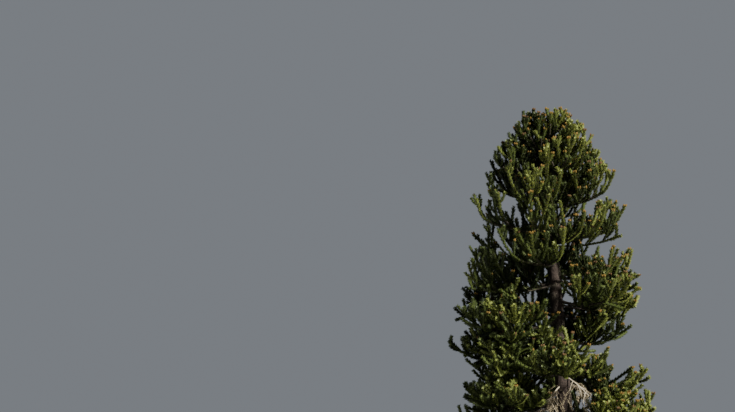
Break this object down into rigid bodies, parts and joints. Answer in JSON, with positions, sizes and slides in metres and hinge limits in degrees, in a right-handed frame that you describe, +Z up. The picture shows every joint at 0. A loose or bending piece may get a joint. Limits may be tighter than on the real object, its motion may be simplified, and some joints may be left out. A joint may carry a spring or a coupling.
{
  "type": "monkey puzzle tree",
  "caption": "Rooted evergreen conifer with a straight tapering trunk, whorled boughs and rope-like leafy shoots in a tall domed crown above a clear lower stem.",
  "frame": {"origin": "centre of the flat cut under the trunk, at ground level", "axes": "+Z up, +X to the right and +Y away from the viewer in the picture's view"},
  "size_m": [6.7316, 6.6678, 15],
  "materials": {
    "bark": "rough grey-brown bark in small plates, with rings of old branch scars",
    "foliage": "stiff overlapping leaves, olive to dark green, half gloss, with ochre cones at the tips",
    "dead_wood": "bleached bare wood with pale lichen"
  },
  "bodies": {
    "root": {"bough_10_1": "bark", "bough_10_2": "bark", "bough_10_3": "bark", "bough_10_4": "bark", "bough_7_1": "bark", "bough_7_2": "bark", "bough_7_3": "bark", "bough_7_4": "bark", "bough_8_1": "bark", "bough_8_2": "bark", "bough_8_3": "bark", "bough_8_4": "bark", "bough_9_1": "bark", "bough_9_2": "bark", "bough_9_3": "bark", "bough_9_4": "bark", "dead_limb_1": "dead_wood", "dead_limb_2": "dead_wood", "foliage_10_1": "foliage", "foliage_10_2": "foliage", "foliage_10_3": "foliage", "foliage_10_4": "foliage", "foliage_1_1": "foliage", "foliage_1_2": "foliage", "foliage_1_3": "foliage", "foliage_1_4": "foliage", "foliage_2_1": "foliage", "foliage_2_2": "foliage", "foliage_2_3": "foliage", "foliage_2_4": "foliage", "foliage_3_1": "foliage", "foliage_3_2": "foliage", "foliage_3_3": "foliage", "foliage_3_4": "foliage", "foliage_4_1": "foliage", "foliage_4_2": "foliage", "foliage_4_3": "foliage", "foliage_4_4": "foliage", "foliage_5_1": "foliage", "foliage_5_2": "foliage", "foliage_5_3": "foliage", "foliage_5_4": "foliage", "foliage_6_1": "foliage", "foliage_6_2": "foliage", "foliage_6_3": "foliage", "foliage_6_4": "foliage", "foliage_7_1": "foliage", "foliage_7_2": "foliage", "foliage_7_3": "foliage", "foliage_7_4": "foliage", "foliage_8_1": "foliage", "foliage_8_2": "foliage", "foliage_8_3": "foliage", "foliage_8_4": "foliage", "foliage_9_1": "foliage", "foliage_9_2": "foliage", "foliage_9_3": "foliage", "foliage_9_4": "foliage", "foliage_leader": "foliage", "trunk": "bark"}
  },
  "joints": []
}
